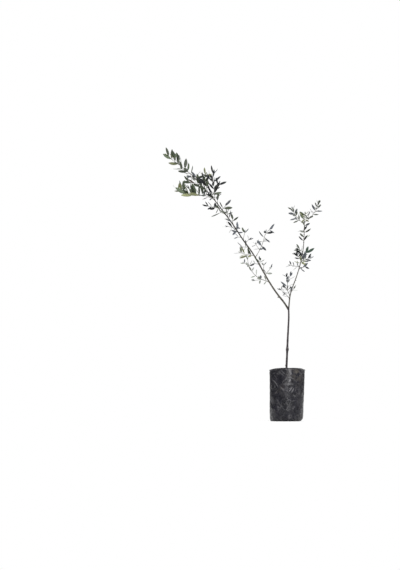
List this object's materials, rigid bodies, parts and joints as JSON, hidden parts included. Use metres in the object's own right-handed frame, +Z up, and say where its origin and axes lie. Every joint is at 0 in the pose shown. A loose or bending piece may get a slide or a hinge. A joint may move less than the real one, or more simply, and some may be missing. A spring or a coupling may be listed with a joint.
{
  "type": "potted olive tree",
  "caption": "Young olive tree in a black film nursery bag: a thin trunk forks into a long leaning bough and an upright leader with small leafy shoots.",
  "frame": {"origin": "centre of the bag's flat underside, on the ground", "axes": "+Z up, +X to the right as the plant is seen from the front, +Y away from the viewer"},
  "size_m": [0.6685, 0.2061, 1.1018],
  "materials": {
    "bag_film": "satin",
    "soil": "matte",
    "trunk_bark": "matte",
    "bough_bark": "matte",
    "dark_foliage": "satin",
    "grey_foliage": "matte",
    "olive_foliage": "satin"
  },
  "bodies": {
    "root": {"nursery_bag": "bag_film", "soil": "soil", "trunk": "trunk_bark", "left_bough": "bough_bark", "right_leader": "bough_bark", "low_left_shoot": "dark_foliage", "low_right_shoot": "grey_foliage", "low_upright_spur": "dark_foliage", "low_tuft": "olive_foliage", "low_left_spur": "dark_foliage", "rising_right_shoot": "grey_foliage", "curled_left_shoot": "dark_foliage", "mid_left_shoot": "olive_foliage", "mid_right_spur": "dark_foliage", "mid_fork_spur": "grey_foliage", "mid_left_spur": "dark_foliage", "mid_back_shoot": "olive_foliage", "bough_right_spur": "dark_foliage", "bough_left_shoot": "grey_foliage", "bough_pair_spur": "dark_foliage", "bough_front_shoot": "olive_foliage", "upper_right_spur": "dark_foliage", "upper_right_shoot": "grey_foliage", "upper_left_spur": "dark_foliage", "upper_left_shoot": "olive_foliage", "upper_tall_spur": "dark_foliage", "high_upright_shoot": "grey_foliage", "high_low_shoot": "dark_foliage", "high_right_shoot": "olive_foliage", "high_left_shoot": "dark_foliage", "high_dark_shoot": "grey_foliage", "high_back_shoot": "dark_foliage", "high_olive_shoot": "olive_foliage", "high_inner_shoot": "dark_foliage", "tip_right_spur": "grey_foliage", "tip_left_spur": "dark_foliage", "tip_shoot": "olive_foliage", "fork_low_shoot": "dark_foliage", "fork_left_shoot": "grey_foliage", "fork_right_spur": "dark_foliage", "crown_right_shoot": "olive_foliage", "crown_left_shoot": "dark_foliage", "crown_front_spur": "grey_foliage", "crown_right_spur": "dark_foliage", "crown_left_spur": "olive_foliage", "crown_back_shoot": "dark_foliage", "crown_rising_shoot": "grey_foliage", "crown_upper_spur": "dark_foliage", "slim_left_spur": "olive_foliage", "slim_right_spur": "dark_foliage", "slim_front_shoot": "grey_foliage", "slim_left_shoot": "dark_foliage", "slim_right_shoot": "olive_foliage", "top_left_shoot": "dark_foliage", "top_right_shoot": "grey_foliage", "top_shoot": "dark_foliage"}
  },
  "joints": []
}
